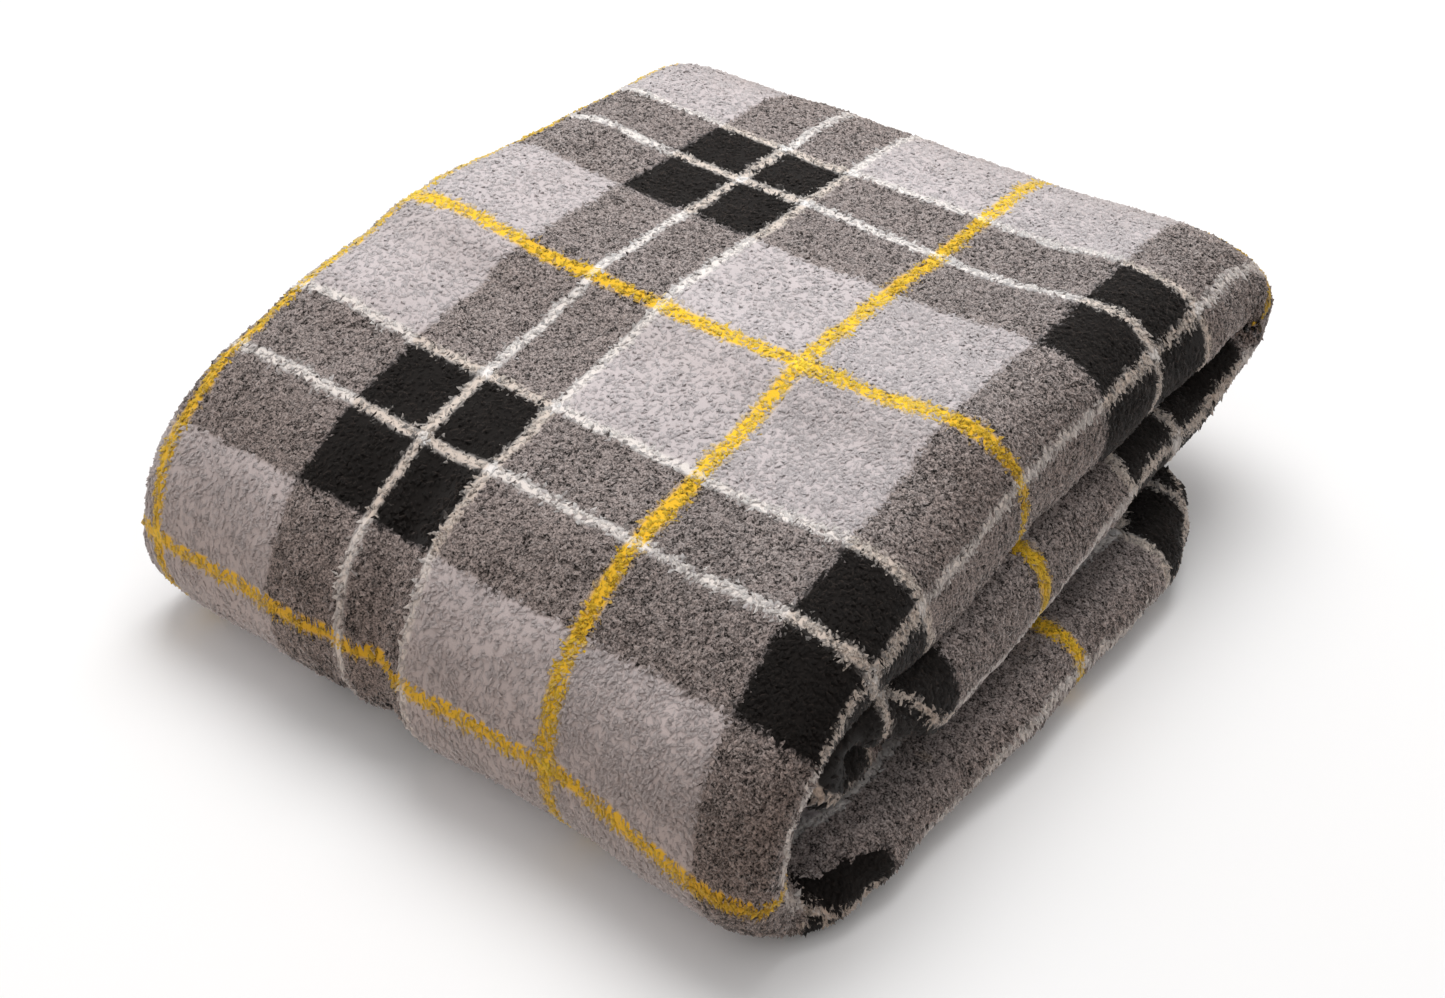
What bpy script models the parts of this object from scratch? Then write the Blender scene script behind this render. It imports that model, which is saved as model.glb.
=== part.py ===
"""Thick tartan camp blanket, folded into a bundle.

One cloth, 1.4 m wide and 2.0 m long, is folded in three across its width (a face
panel with a flap turned under from each side) and in four along its length. The
four lengths lie on each other as strips, top to bottom: top, second, third, bottom.
The back fold joins top and second. The nested front folds join the two halves, and
the bundle opens about the crease inside them.

Frame: +Z up, +X to the bundle's right, -Y to its front. The origin is on the
ground at the middle of the bundle.
"""

import math

import bpy

# Driving sizes, in metres.
PLY = 0.0147              # one layer of pile cloth, as it lies in the bundle
CLEARANCE = 0.0003        # gap between pieces that touch
BUNDLE_WIDTH = 0.476      # over the widest strip
BUNDLE_DEPTH = 0.522      # front of the front fold to back of the back fold
LOWER_RECESS = 0.094      # the lower half's hemmed ends stop this far before the back
RIGHT_INSET = {"top": 0.035, "second": 0.017, "third": 0.048, "bottom": 0.0}
LEFT_INSET = {"top": 0.0, "second": 0.008, "third": 0.033, "bottom": 0.004}
FLAP_SHORTFALL = 0.012    # a left flap's free edge stays this far inside the right fold
SIDE_HEM = 0.014          # width of the turned hem along the cloth's long edges
END_HEM = 0.018           # width of the turned hem across the cloth's ends
HEM_ROUND = 0.0045        # edge radius of a turned hem
TURN_SEGMENTS = 20        # facets round half a turn

# Worked out from the sizes above.
PLIES_PER_STRIP = 3
STRIP = PLIES_PER_STRIP * PLY
HALF_HEIGHT = 2 * STRIP
FOLD_Y = -BUNDLE_DEPTH / 2 + HALF_HEIGHT
BACK_TURN_Y = BUNDLE_DEPTH / 2 - STRIP
LOWER_END_Y = BUNDLE_DEPTH / 2 - LOWER_RECESS
HALF_GAP = CLEARANCE / 2
FOLD_Z = HALF_HEIGHT - HALF_GAP

# Height of each ply in the stack, counted from the ground up.
PLY_LEVEL = {
    "bottom": {"face": 0, "right_flap": 1, "left_flap": 2},
    "third": {"left_flap": 3, "right_flap": 4, "face": 5},
    "second": {"face": 6, "right_flap": 7, "left_flap": 8},
    "top": {"left_flap": 9, "right_flap": 10, "face": 11},
}
UPPER_STRIPS = ("top", "second")

PLUSH = {
    "face": (0.40, 0.38, 0.39),
    "right_flap": (0.16, 0.15, 0.15),
    "left_flap": (0.05, 0.045, 0.045),
}
TURN_PLUSH = (0.30, 0.28, 0.29)
HEM_PLUSH = (0.10, 0.095, 0.095)


def start_empty():
    """Remove what the file opened with."""
    for thing in list(bpy.data.objects):
        bpy.data.objects.remove(thing, do_unlink=True)


def plush(name, colour):
    """A matt pile-cloth material."""
    material = bpy.data.materials.new(name)
    material.use_nodes = True
    shader = material.node_tree.nodes["Principled BSDF"]
    shader.inputs["Base Color"].default_value = (*colour, 1.0)
    shader.inputs["Roughness"].default_value = 0.95
    shader.inputs["Metallic"].default_value = 0.0
    shader.inputs["Sheen Weight"].default_value = 0.4
    return material


def finish(thing, collection, colour):
    """Give a piece its own material and put it in the blanket's collection."""
    thing.data.materials.append(plush(thing.name, colour))
    for held in list(thing.users_collection):
        held.objects.unlink(thing)
    collection.objects.link(thing)
    return thing


def slab(name, low, high, collection, colour, edge_radius=0.0):
    """A flat piece between two corners, with rounded edges if asked."""
    centre = [(a + b) / 2 for a, b in zip(low, high)]
    bpy.ops.mesh.primitive_cube_add(size=1.0, location=centre)
    thing = bpy.context.object
    thing.name = name
    thing.scale = [b - a for a, b in zip(low, high)]
    bpy.ops.object.transform_apply(location=False, rotation=False, scale=True)
    if edge_radius:
        rounding = thing.modifiers.new("rounded edge", "BEVEL")
        rounding.width = edge_radius
        rounding.segments = 3
    return finish(thing, collection, colour)


def arc(centre, radius, start, end):
    """Points on an arc, angles in radians."""
    points = []
    for step in range(TURN_SEGMENTS + 1):
        angle = start + (end - start) * step / TURN_SEGMENTS
        points.append((centre[0] + radius * math.cos(angle), centre[1] + radius * math.sin(angle)))
    return points


def half_ring(centre, inner, outer, start):
    """The outline of half a ring, open towards start + 270 degrees."""
    outline = arc(centre, outer, start, start + math.pi)
    if inner > HALF_GAP:
        outline += arc(centre, inner, start + math.pi, start)
    return outline


def extrusion(name, outline, length, location, rotation, collection, colour):
    """A flat outline given thickness both ways from its plane."""
    curve = bpy.data.curves.new(name, "CURVE")
    curve.dimensions = "2D"
    curve.fill_mode = "BOTH"
    curve.extrude = length / 2
    spline = curve.splines.new("POLY")
    spline.points.add(len(outline) - 1)
    for point, (u, v) in zip(spline.points, outline):
        point.co = (u, v, 0.0, 1.0)
    spline.use_cyclic_u = True
    thing = bpy.data.objects.new(name, curve)
    bpy.context.scene.collection.objects.link(thing)
    thing.location = location
    thing.rotation_euler = rotation
    return finish(thing, collection, colour)


def strip_edges(strip):
    """Left and right limits of a strip."""
    left = -BUNDLE_WIDTH / 2 + LEFT_INSET[strip]
    right = BUNDLE_WIDTH / 2 - RIGHT_INSET[strip]
    return left, right


def strip_run(strip):
    """Front and back limits of a strip's flat length."""
    front = FOLD_Y + HALF_GAP
    back = BACK_TURN_Y - HALF_GAP if strip in UPPER_STRIPS else LOWER_END_Y
    return front, back


def ply_span(level):
    """Bottom and top of a ply at its level in the stack."""
    return level * PLY, (level + 1) * PLY - CLEARANCE


def flat_limits(strip, ply):
    """Left and right limits of a ply between its side folds and its hem."""
    left, right = strip_edges(strip)
    inside_left = left + STRIP / 2 + HALF_GAP
    inside_right = right - PLY - HALF_GAP
    if ply == "right_flap":
        inside_left += SIDE_HEM
    if ply == "left_flap":
        inside_right = right - FLAP_SHORTFALL - SIDE_HEM
    return inside_left, inside_right


def build_panels(collection):
    """The twelve flat panels, and the end hems across the lower half's back."""
    for strip, levels in PLY_LEVEL.items():
        front, back = strip_run(strip)
        for ply, level in levels.items():
            left, right = flat_limits(strip, ply)
            low, high = ply_span(level)
            panel_back = back if strip in UPPER_STRIPS else back - END_HEM
            name = f"{strip}_{ply}_panel"
            slab(name, (left, front, low), (right, panel_back, high), collection, PLUSH[ply])
            if strip not in UPPER_STRIPS:
                hem_front = panel_back + CLEARANCE
                name = f"{strip}_{ply}_end_hem"
                slab(name, (left, hem_front, low), (right, back, high), collection, HEM_PLUSH, HEM_ROUND)


def build_side_hems(collection):
    """The turned hems along the cloth's two long edges, inside each strip."""
    for strip, levels in PLY_LEVEL.items():
        front, back = strip_run(strip)
        right_flap_left = flat_limits(strip, "right_flap")[0]
        low, high = ply_span(levels["right_flap"])
        near = right_flap_left - SIDE_HEM
        far = right_flap_left - CLEARANCE
        name = f"{strip}_right_flap_side_hem"
        slab(name, (near, front, low), (far, back, high), collection, HEM_PLUSH, HEM_ROUND)
        left_flap_right = flat_limits(strip, "left_flap")[1]
        low, high = ply_span(levels["left_flap"])
        near = left_flap_right + CLEARANCE
        far = left_flap_right + SIDE_HEM
        name = f"{strip}_left_flap_side_hem"
        slab(name, (near, front, low), (far, back, high), collection, HEM_PLUSH, HEM_ROUND)


def build_side_folds(collection):
    """The rounded folds down both sides of each strip."""
    upright = (math.pi / 2, 0.0, 0.0)
    for strip, levels in PLY_LEVEL.items():
        front, back = strip_run(strip)
        left, right = strip_edges(strip)
        place = (0.0, (front + back) / 2, 0.0)
        joined = max(levels["face"], levels["right_flap"])
        centre = (right - PLY, joined * PLY - HALF_GAP)
        outline = half_ring(centre, 0.0, PLY - HALF_GAP, -math.pi / 2)
        name = f"{strip}_right_fold"
        extrusion(name, outline, back - front, place, upright, collection, TURN_PLUSH)
        centre = (left + STRIP / 2, (levels["right_flap"] + 0.5) * PLY - HALF_GAP)
        inner = PLY / 2 + HALF_GAP
        outline = half_ring(centre, inner, STRIP / 2 - HALF_GAP, math.pi / 2)
        name = f"{strip}_left_fold"
        extrusion(name, outline, back - front, place, upright, collection, TURN_PLUSH)


def build_turn(name, joined, turn_y, height, ring, opens_back, collection):
    """One cloth layer turning over at the front or the back of the bundle."""
    edges = [strip_edges(strip) for strip in joined]
    left = max(edge[0] for edge in edges)
    right = min(edge[1] for edge in edges)
    inner = ring * PLY + HALF_GAP if ring else 0.0
    outer = (ring + 1) * PLY - HALF_GAP
    start = math.pi / 2 if opens_back else -math.pi / 2
    outline = half_ring((turn_y, height), inner, outer, start)
    place = ((left + right) / 2, 0.0, 0.0)
    sideways = (math.pi / 2, 0.0, math.pi / 2)
    extrusion(name, outline, right - left, place, sideways, collection, TURN_PLUSH)


def build_front_folds(collection):
    """Six nested layers round the front, three from each pair of strips."""
    rings = [("second", "third"), ("top", "bottom")]
    for pair, strips in enumerate(rings):
        order = ("face", "right_flap", "left_flap") if pair == 0 else ("left_flap", "right_flap", "face")
        reach = "core" if pair == 0 else "outer"
        for step, ply in enumerate(order):
            ring = pair * PLIES_PER_STRIP + step
            turn_y = FOLD_Y - HALF_GAP
            build_turn(f"front_fold_{reach}_{ply}", strips, turn_y, FOLD_Z, ring, True, collection)


def build_back_folds(collection):
    """Three nested layers round the back of the upper half."""
    height = FOLD_Z + STRIP
    for ring, ply in enumerate(("left_flap", "right_flap", "face")):
        turn_y = BACK_TURN_Y + HALF_GAP
        build_turn(f"back_fold_{ply}", UPPER_STRIPS, turn_y, height, ring, False, collection)


def build_blanket():
    """Make every piece of the folded blanket."""
    start_empty()
    collection = bpy.data.collections.new("camp_blanket")
    bpy.context.scene.collection.children.link(collection)
    build_panels(collection)
    build_side_hems(collection)
    build_side_folds(collection)
    build_front_folds(collection)
    build_back_folds(collection)


build_blanket()
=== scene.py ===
"""Folded plush tartan camp blanket.

The cloth is one long sheet, folded like a letter into a strip, folded again into
an upper half of two strips and folded once more over a lower half of two strips.
Every run of the strip is its own skin of base cloth with its own pile on it.
"""

import math

import bmesh
import bpy
import numpy as np
from mathutils import Matrix, Vector


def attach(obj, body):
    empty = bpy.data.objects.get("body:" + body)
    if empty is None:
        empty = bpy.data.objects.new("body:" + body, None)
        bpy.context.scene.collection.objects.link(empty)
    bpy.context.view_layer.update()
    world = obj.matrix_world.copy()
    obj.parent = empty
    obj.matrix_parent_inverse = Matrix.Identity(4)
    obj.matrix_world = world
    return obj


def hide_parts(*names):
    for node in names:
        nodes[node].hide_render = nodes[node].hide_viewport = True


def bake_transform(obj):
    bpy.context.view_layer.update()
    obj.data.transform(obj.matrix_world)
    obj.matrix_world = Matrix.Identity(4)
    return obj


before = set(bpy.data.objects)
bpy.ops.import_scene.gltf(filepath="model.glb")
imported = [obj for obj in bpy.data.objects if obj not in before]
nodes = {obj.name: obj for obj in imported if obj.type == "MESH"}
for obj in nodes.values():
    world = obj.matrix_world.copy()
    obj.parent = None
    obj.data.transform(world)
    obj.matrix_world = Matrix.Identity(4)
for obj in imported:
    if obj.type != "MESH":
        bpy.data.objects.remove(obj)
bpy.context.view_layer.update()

# ---------------------------------------------------------------- sizes, in metres
REPEAT = 0.285  # one repeat of the tartan
ANCHOR_X = 0.0641  # where the yellow warp line crosses the top
ANCHOR_Y = -0.0328  # where the yellow weft line crosses the top
FOLD_Y, FOLD_Z = -0.1728, 0.08805  # the line that the main fold turns about
GRID = 0.006  # one face of the base cloth
TUFT_GAP = {"top": 0.00212, "wrap": 0.00212, "back": 0.0023, "bottom": 0.0023, "core": 0.0023,
            "second": 0.0028, "third": 0.0028}  # from one tuft to the next
PILE = 0.0047  # a tuft's length
TUFT_WIDTH = 0.0030
ROOT_DEPTH = 0.0021  # how far a tuft starts under the base cloth
LOWEST = 0.0006  # over the ground
PRESSED_FLAT = 0.012  # the underside has no tufts below this height
BARE_EDGE = 0.03  # share of a skin's width, inside the strip, that has no tufts
SCATTER = 0.34  # how far a tuft may stray from its place in the rows, as a share of a gap
DROOP, DIP = 0.62, 0.16  # how far its tip goes sideways and down, as shares of its length
MOST_TUFTS = 21000  # in one piece
FLOOR_DROP = 0.0005
SECOND_YELLOW_Y = -0.022  # where the yellow weft line crosses the second strip

# ---------------------------------------------------------------- camera
CAMERA_PLACE = Vector((0.4865, -0.676, 0.726))
CAMERA_AHEAD = Vector((-0.454, 0.615, -0.645)).normalized()
CAMERA_LENS = 44.59


def make_camera():
    data = bpy.data.cameras.new("camera")
    data.lens, data.sensor_width = CAMERA_LENS, 36
    data.clip_start, data.clip_end = 0.01, 50
    camera = bpy.data.objects.new("camera", data)
    bpy.context.scene.collection.objects.link(camera)
    camera.location = CAMERA_PLACE
    camera.rotation_mode = "QUATERNION"
    camera.rotation_quaternion = CAMERA_AHEAD.to_track_quat("-Z", "Y")
    bpy.context.scene.camera = camera
    return camera


# ---------------------------------------------------------------- lines and noise
def smooth_line(points, per_span=16):
    """A smooth line through the points: (points on it, arc length at each, arc length at the given ones)."""
    p = np.asarray(points, float)
    ends = np.vstack([2 * p[0] - p[1], p, 2 * p[-1] - p[-2]])
    chord = np.linalg.norm(np.diff(ends, axis=0), axis=1) ** 0.5
    knots = np.concatenate([[0], np.cumsum(chord)])
    out = []
    for k in range(1, len(ends) - 2):
        t0, t1, t2, t3 = knots[k - 1 : k + 3]
        t = np.linspace(t1, t2, per_span, endpoint=False)[:, None]
        a1 = (t1 - t) / (t1 - t0) * ends[k - 1] + (t - t0) / (t1 - t0) * ends[k]
        a2 = (t2 - t) / (t2 - t1) * ends[k] + (t - t1) / (t2 - t1) * ends[k + 1]
        a3 = (t3 - t) / (t3 - t2) * ends[k + 1] + (t - t2) / (t3 - t2) * ends[k + 2]
        b1 = (t2 - t) / (t2 - t0) * a1 + (t - t0) / (t2 - t0) * a2
        b2 = (t3 - t) / (t3 - t1) * a2 + (t - t1) / (t3 - t1) * a3
        out.append((t2 - t) / (t2 - t1) * b1 + (t - t1) / (t2 - t1) * b2)
    line = np.vstack(out + [p[-1:]])
    arc = np.concatenate([[0], np.cumsum(np.linalg.norm(np.diff(line, axis=0), axis=1))])
    return line, arc, arc[::per_span]


def along(line, arc, at):
    return np.stack([np.interp(at, arc, line[:, k]) for k in range(line.shape[1])], -1)


def ease(x):
    x = np.clip(x, 0, 1)
    return x * x * (3 - 2 * x)


def swell(a, b, size, seed):
    """Smooth noise from -1 to 1 over two lengths, with bumps about size across."""
    table = np.random.default_rng(seed).uniform(-1, 1, (64, 64))
    i, j = np.floor(a / size), np.floor(b / size)
    u, v = ease(a / size - i), ease(b / size - j)
    i, j = i.astype(int), j.astype(int)
    pick = lambda di, dj: table[(i + di) % 64, (j + dj) % 64]
    return (pick(0, 0) * (1 - u) + pick(1, 0) * u) * (1 - v) + (pick(0, 1) * (1 - u) + pick(1, 1) * u) * v


# ---------------------------------------------------------------- the strip's run, seen from its right side
# (y, z) of the base cloth on the face side of the strip, from the back hem of the
# lower half, over the front, round the back and in to the third strip's hem.
RUNS = {
    "bottom": [(0.160, 0.003), (0.08, 0.003), (-0.02, 0.003), (-0.1, 0.003), (FOLD_Y, 0.003)],
    "wrap": [(-0.215, 0.0032), (-0.239, 0.0095), (-0.2555, 0.025), (-0.2635, 0.047), (-0.2615, 0.070),
             (-0.2545, 0.0905), (-0.239, 0.110), (-0.220, 0.1245), (-0.194, 0.1385), (FOLD_Y, 0.146)],
    "top": [(-0.1235, 0.155), (-0.0715, 0.1625), (-0.0328, 0.171), (0.0222, 0.170), (0.069, 0.1665),
            (0.1297, 0.1655), (0.2021, 0.1625)],
    "back": [(0.236, 0.1545), (0.253, 0.138), (0.2575, 0.115), (0.249, 0.094), (0.233, 0.0815),
             (0.205, 0.080)],
    "second": [(0.17, 0.0845), (0.13, 0.0905), (0.08, 0.0932), (0.0, 0.0932), (-0.09, 0.0932),
               (FOLD_Y, 0.0932)],
    "core": [(-0.1765, 0.0917), (-0.1785, 0.08805), (-0.1765, 0.0844), (FOLD_Y, 0.083)],
    "third": [(-0.09, 0.083), (0.0, 0.083), (0.08, 0.0825), (0.12, 0.0792), (0.160, 0.0735)],
}

# (x, height over the strip's face line) across the strip, from the yellow warp line
# out to the folded edge and in under it: the right-hand side, then the left-hand side.
EDGES = {
    "top": (
        [(0.100, 0), (0.130, 0.0035), (0.157, 0.0060), (0.177, 0.002), (0.1905, -0.0095), (0.1965, -0.025),
         (0.1985, -0.046), (0.192, -0.063), (0.160, -0.066)],
        [(-0.10, 0.001), (-0.15, 0.005), (-0.185, 0.008), (-0.209, 0.007), (-0.226, -0.001),
         (-0.2345, -0.016), (-0.2365, -0.036), (-0.228, -0.056), (-0.18, -0.060)]),
    "top_rear": (
        [(0.100, 0), (0.130, 0.003), (0.160, 0.005), (0.183, 0.002), (0.198, -0.008), (0.2055, -0.022),
         (0.2075, -0.040), (0.199, -0.056), (0.165, -0.060)],
        [(-0.10, 0.001), (-0.15, 0.004), (-0.185, 0.007), (-0.209, 0.005), (-0.225, -0.004),
         (-0.2335, -0.018), (-0.2355, -0.036), (-0.227, -0.054), (-0.18, -0.060)]),
    "lip": (
        [(0.100, 0), (0.135, 0.002), (0.165, 0.003), (0.187, 0.001), (0.1995, -0.006), (0.2020, -0.016),
         (0.1975, -0.027), (0.183, -0.035), (0.155, -0.036)],
        [(-0.10, 0), (-0.15, 0), (-0.19, 0), (-0.215, -0.001), (-0.229, -0.006), (-0.2345, -0.016),
         (-0.231, -0.028), (-0.215, -0.036), (-0.18, -0.036)]),
    "back": (
        [(0.100, 0), (0.130, 0.002), (0.160, 0.004), (0.190, 0.001), (0.209, -0.008), (0.2195, -0.022),
         (0.219, -0.038), (0.205, -0.048), (0.170, -0.048)],
        [(-0.10, 0), (-0.15, 0), (-0.185, 0.001), (-0.207, -0.001), (-0.223, -0.008), (-0.231, -0.021),
         (-0.229, -0.036), (-0.212, -0.048), (-0.17, -0.048)]),
    "bottom": (
        [(0.100, 0), (0.140, 0), (0.180, 0), (0.214, 0), (0.234, -0.005), (0.242, -0.015), (0.240, -0.028),
         (0.227, -0.0375), (0.180, -0.0375)],
        [(-0.10, 0), (-0.15, 0), (-0.185, 0), (-0.212, -0.001), (-0.228, -0.008), (-0.2335, -0.018),
         (-0.229, -0.030), (-0.215, -0.0365), (-0.18, -0.0365)]),
    "bottom_front": (
        [(0.100, 0), (0.135, 0), (0.170, 0), (0.198, 0), (0.216, -0.005), (0.2235, -0.014), (0.221, -0.026),
         (0.209, -0.0345), (0.165, -0.0355)],
        [(-0.10, 0), (-0.15, 0), (-0.185, 0), (-0.212, -0.001), (-0.228, -0.008), (-0.2335, -0.018),
         (-0.229, -0.030), (-0.215, -0.0365), (-0.18, -0.0365)]),
    "bottom_end": (
        [(0.095, 0), (0.130, 0), (0.165, 0), (0.192, 0), (0.211, -0.006), (0.219, -0.016), (0.217, -0.028),
         (0.205, -0.0370), (0.165, -0.0370)],
        [(-0.10, 0), (-0.14, 0), (-0.175, 0), (-0.200, -0.001), (-0.215, -0.008), (-0.2205, -0.018),
         (-0.216, -0.030), (-0.203, -0.0365), (-0.17, -0.0365)]),
    "second": (
        [(0.100, 0), (0.135, 0.001), (0.160, 0.006), (0.180, 0.022), (0.193, 0.036), (0.207, 0.036),
         (0.2155, 0.020), (0.207, -0.006), (0.170, -0.014)],
        [(-0.10, 0), (-0.145, 0.002), (-0.175, 0.010), (-0.197, 0.026), (-0.213, 0.037), (-0.228, 0.033),
         (-0.2355, 0.016), (-0.226, -0.004), (-0.18, -0.012)]),
    "second_rear": (
        [(0.100, 0), (0.135, 0), (0.165, 0.002), (0.188, 0.010), (0.203, 0.017), (0.214, 0.014),
         (0.2175, 0.000), (0.208, -0.012), (0.170, -0.014)],
        [(-0.10, 0), (-0.145, 0.001), (-0.175, 0.006), (-0.197, 0.016), (-0.213, 0.024), (-0.228, 0.021),
         (-0.2355, 0.008), (-0.226, -0.006), (-0.18, -0.012)]),
    "core": (
        [(0.100, 0), (0.130, 0), (0.155, 0), (0.180, -0.002), (0.1945, -0.010), (0.1985, -0.020),
         (0.193, -0.031), (0.178, -0.037), (0.150, -0.038)],
        [(-0.10, 0), (-0.15, 0), (-0.18, -0.001), (-0.203, -0.005), (-0.219, -0.012), (-0.2235, -0.021),
         (-0.218, -0.031), (-0.203, -0.037), (-0.17, -0.038)]),
    "third": (
        [(0.090, 0), (0.110, -0.001), (0.130, -0.003), (0.150, -0.010), (0.168, -0.022), (0.180, -0.033),
         (0.1845, -0.039), (0.178, -0.043), (0.150, -0.044)],
        [(-0.09, 0), (-0.12, -0.001), (-0.145, -0.004), (-0.168, -0.013), (-0.186, -0.026), (-0.199, -0.036),
         (-0.203, -0.041), (-0.195, -0.044), (-0.165, -0.045)]),
}

# (share of the run, from one edge shape, to another, how far)
STATIONS = {
    "bottom": [(0, "bottom_end", "bottom", 0), (0.08, "bottom_end", "bottom", 0.6),
               (0.2, "bottom_end", "bottom", 1), (0.55, "bottom", "bottom_front", 0.35),
               (1, "bottom_front", "bottom", 0)],
    "wrap": [(0, "bottom_front", "lip", 0), (0.12, "bottom_front", "lip", 0.25), (0.30, "lip", "lip", 0),
             (0.78, "lip", "lip", 0), (1, "lip", "top", 0.35)],
    "top": [(0, "lip", "top", 0.35), (0.17, "top", "top", 0), (0.4, "top", "top", 0),
            (0.72, "top", "top_rear", 1), (1, "top_rear", "back", 0.6)],
    "back": [(0, "top_rear", "back", 0.6), (0.3, "back", "back", 0), (0.75, "back", "back", 0),
             (1, "back", "second_rear", 0.35)],
    "second": [(0, "back", "second_rear", 0.35), (0.15, "second_rear", "second_rear", 0),
               (0.3, "second_rear", "second", 0.15), (0.6, "second", "second", 0),
               (0.85, "second", "second", 0), (1, "second", "core", 0.6)],
    "core": [(0, "second", "core", 0.6), (0.3, "core", "core", 0), (0.7, "core", "core", 0),
             (1, "core", "third", 0.4)],
    "third": [(0, "core", "third", 0.4), (0.15, "third", "third", 0), (1, "third", "third", 0)],
}

# How far the pattern has slid sideways at the start and at the end of each run, because the folds
# aren't quite square.
SIDE_SLIP = {"bottom": (-0.045, -0.022), "wrap": (-0.022, 0.0), "top": (0, 0), "back": (0, -0.030),
             "second": (-0.030, -0.030), "core": (-0.030, 0), "third": (0, 0.022)}
CORNER_TAKE_UP = 0.085  # cloth taken up in the corner at the right, where the front meets the ground
CORNER_FOLD = 0.055  # and the further cloth that's taken up beyond it, on that corner's side
CORNER_SAG = 0.010  # how far that corner hangs down
FRONT_TAKE_UP = 0.0195  # cloth taken up in the soft front, between the last dark band and the yellow line


class Strip:
    """The folded strip's face line, and a table of the base cloth for each of its runs."""

    COLUMNS = 96  # each side of the yellow line
    ROW = 0.004

    def __init__(self):
        points, marks = [], {}
        for name, run in RUNS.items():
            start = len(points) - 1 if points else 0
            points += run
            marks[name] = (start, len(points) - 1)
        self.line, self.arc, at_points = smooth_line(points)
        self.ends = {name: (at_points[a], at_points[b]) for name, (a, b) in marks.items()}
        self.zero = self.arc_where("top", 0, ANCHOR_Y)
        self.tables = {name: self.table(name) for name in RUNS}
        # The face line's own lengths give the weft pattern, but round the end of the back fold it's
        # stretched by 48 mm, to bring the next-but-one yellow line where it crosses the second strip.
        back = self.ends["back"]
        second = self.arc_where("second", 0, SECOND_YELLOW_Y)
        self.skip = (second - self.zero) - 2 * REPEAT
        self.skip_from, self.skip_to = back[0] + 0.065, back[1] + 0.12

    def arc_where(self, run, axis, value):
        a, b = self.ends[run]
        at = np.linspace(a, b, 2000)
        return at[np.argmin(abs(along(self.line, self.arc, at)[:, axis] - value))]

    def weft_length(self, v, s):
        """Where a place on the run lies along the cloth, from the yellow line on top, forwards positive."""
        ground = self.ends["wrap"][0]  # where the front meets the ground
        t = self.zero - v + self.skip * ease((v - self.skip_from) / (self.skip_to - self.skip_from))
        slack = ease((self.zero - v - 0.69 * REPEAT) / (0.25 * REPEAT)) - ease((ground - v) / 0.1)
        t += FRONT_TAKE_UP * slack * (1 - ease(s / 0.15))
        # whole from low on the front, fading out back along the bottom strip
        corner = ease((ground + 0.078 - v) / 0.024) * ease((v - ground + 0.17) / 0.17)
        t += CORNER_TAKE_UP * corner * ease((s - 0.105) / 0.04)
        return t + CORNER_FOLD * corner * ease((s - 0.158) / 0.012)

    def edge(self, run, share, side):
        stops = STATIONS[run]
        shapes = [(1 - k) * np.array(EDGES[a][side]) + k * np.array(EDGES[b][side]) for _, a, b, k in stops]
        at = [s[0] for s in stops]
        k = min(int(np.searchsorted(at, share, side="right")) - 1, len(stops) - 2)
        w = ease((share - at[k]) / (at[k + 1] - at[k]))
        return np.vstack([[(ANCHOR_X, 0)], (1 - w) * shapes[k] + w * shapes[k + 1]])

    def table(self, run):
        a, b = self.ends[run]
        rows = max(8, int(round((b - a) / self.ROW)))
        v = np.linspace(a, b, rows + 1)
        centre = along(self.line, self.arc, v)
        step = 0.004
        ahead = along(self.line, self.arc, v + step) - along(self.line, self.arc, v - step)
        ahead /= np.linalg.norm(ahead, axis=1)[:, None]
        out = np.stack([-ahead[:, 1], ahead[:, 0]], 1)
        place = np.zeros((rows + 1, 2 * self.COLUMNS + 1, 3))
        across = np.zeros((rows + 1, 2 * self.COLUMNS + 1))
        for r in range(rows + 1):
            share = r / rows
            halves = []
            for side in (1, 0):
                line, arc, _ = smooth_line(self.edge(run, share, side), 8)
                at = np.linspace(0, arc[-1], self.COLUMNS + 1)
                halves.append((along(line, arc, at), at))
            (left, left_arc), (right, right_arc) = halves
            xh = np.vstack([left[:0:-1], right])
            turned = ease((share - 0.58) / 0.42) if run == "bottom" else ease(share)
            slip = SIDE_SLIP[run][0] + (SIDE_SLIP[run][1] - SIDE_SLIP[run][0]) * turned
            across[r] = np.concatenate([-left_arc[:0:-1], right_arc]) + slip
            place[r, :, 0] = xh[:, 0]
            place[r, :, 1:] = centre[r] + xh[:, 1:2] * out[r]
        return {"place": place, "across": across, "v": v, "rows": rows}

    def size(self, run):
        """How long the run's face line is, and how wide its cloth is on average."""
        t = self.tables[run]
        return t["v"][-1] - t["v"][0], float(np.mean(t["across"][:, -1] - t["across"][:, 0]))

    def read(self, run, i, j):
        """Base cloth at row i and column j, shares from 0 to 1: (place, outward direction, cloth lengths)."""
        t = self.tables[run]
        rows, columns = t["rows"], 2 * self.COLUMNS

        def sample(table, r, c):
            r, c = np.clip(r, 0, rows), np.clip(c, 0, columns)
            r0, c0 = np.minimum(r.astype(int), rows - 1), np.minimum(c.astype(int), columns - 1)
            u, w = r - r0, c - c0
            if table.ndim == 3:
                u, w = u[..., None], w[..., None]
            return ((table[r0, c0] * (1 - u) + table[r0 + 1, c0] * u) * (1 - w)
                    + (table[r0, c0 + 1] * (1 - u) + table[r0 + 1, c0 + 1] * u) * w)

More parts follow.
